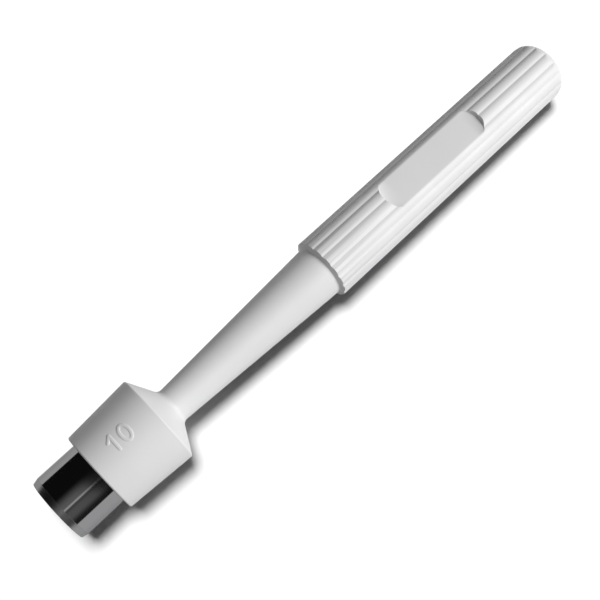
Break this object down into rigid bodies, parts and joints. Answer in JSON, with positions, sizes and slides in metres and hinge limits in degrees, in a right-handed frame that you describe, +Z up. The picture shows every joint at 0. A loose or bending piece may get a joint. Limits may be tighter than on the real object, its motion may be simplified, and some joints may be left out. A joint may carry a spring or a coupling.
{
  "type": "biopsy punch",
  "caption": "Disposable skin biopsy punch: a sharp steel tube in a flared collar, on a slim white handle with a ribbed grip and a sunk label panel.",
  "frame": {"origin": "on the table, under the middle of the lying punch", "axes": "+Z up, on the label panel's side; +X along the punch from the cutting edge to the grip's end, with the tool's own axis sloping 1.5 degrees down towards the grip's end, as it lies"},
  "size_m": [0.1056, 0.0146, 0.0146],
  "materials": {
    "handle_plastic": "satin white moulding",
    "blade_steel": "polished"
  },
  "bodies": {
    "root": {"handle": "handle_plastic", "blade": "blade_steel"}
  },
  "joints": []
}
